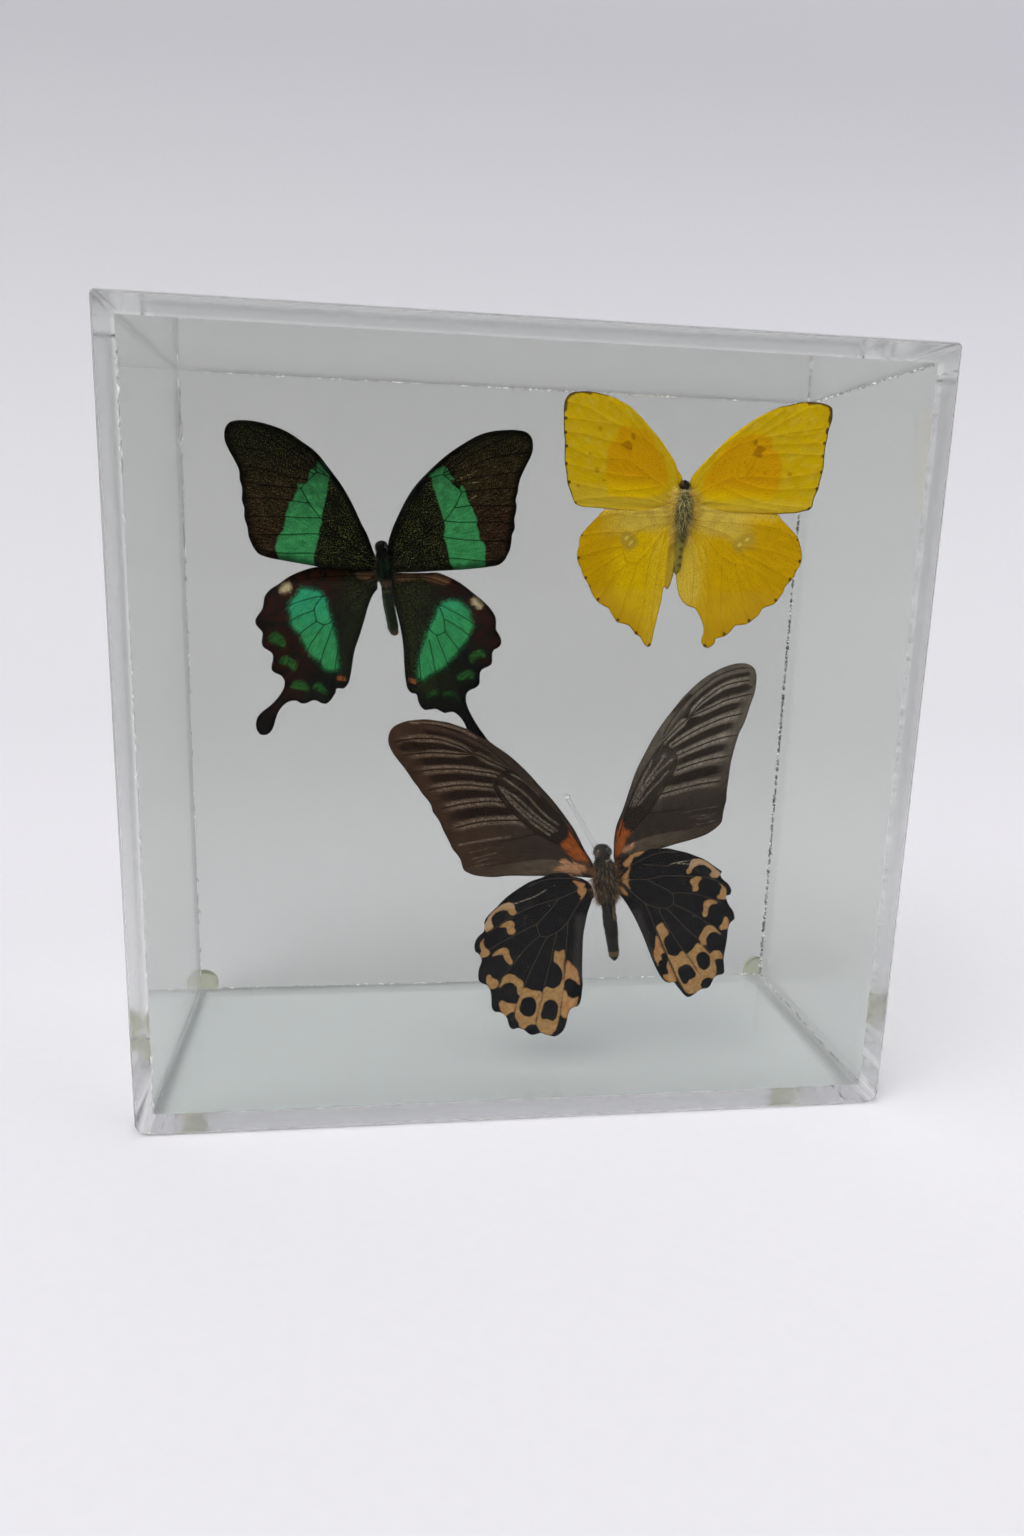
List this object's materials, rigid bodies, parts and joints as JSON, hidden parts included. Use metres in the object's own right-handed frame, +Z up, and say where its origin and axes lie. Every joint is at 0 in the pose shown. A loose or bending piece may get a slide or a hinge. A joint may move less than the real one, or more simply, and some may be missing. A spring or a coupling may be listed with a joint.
{
  "type": "framed butterfly specimen",
  "caption": "Clear square display box of glued acrylic sheets with set butterflies mounted on thin clear rods inside; it stands on its underside.",
  "frame": {"origin": "middle of the underside, half way between the box's outer front and back faces", "axes": "+Z up; -Y out of the front face, towards the viewer; +X to the viewer's right"},
  "size_m": [0.2032, 0.0921, 0.2032],
  "materials": {
    "acrylic": "clear and polished",
    "bumper": "soft translucent dome",
    "green_wing": "fine scales, black with a metallic green band",
    "green_body": "short dark hair",
    "yellow_wing": "fine matt scales, golden yellow",
    "yellow_body": "long grey-green hair",
    "black_forewing": "fine matt scales, dark brown with pale streaks",
    "black_hindwing": "fine matt scales, black with peach cells",
    "black_body": "short brown hair"
  },
  "bodies": {
    "root": {"front_panel": "acrylic", "back_panel": "acrylic", "top_panel": "acrylic", "bottom_panel": "acrylic", "left_panel": "acrylic", "right_panel": "acrylic", "bumper_left": "bumper", "bumper_right": "bumper", "green_body": "green_body", "green_forewing_left": "green_wing", "green_forewing_right": "green_wing", "green_hindwing_left": "green_wing", "green_hindwing_right": "green_wing", "green_rod": "acrylic", "yellow_body": "yellow_body", "yellow_forewing_left": "yellow_wing", "yellow_forewing_right": "yellow_wing", "yellow_hindwing_left": "yellow_wing", "yellow_hindwing_right": "yellow_wing", "yellow_rod": "acrylic", "black_body": "black_body", "black_forewing_left": "black_forewing", "black_forewing_right": "black_forewing", "black_hindwing_left": "black_hindwing", "black_hindwing_right": "black_hindwing", "black_rod": "acrylic"}
  },
  "joints": []
}
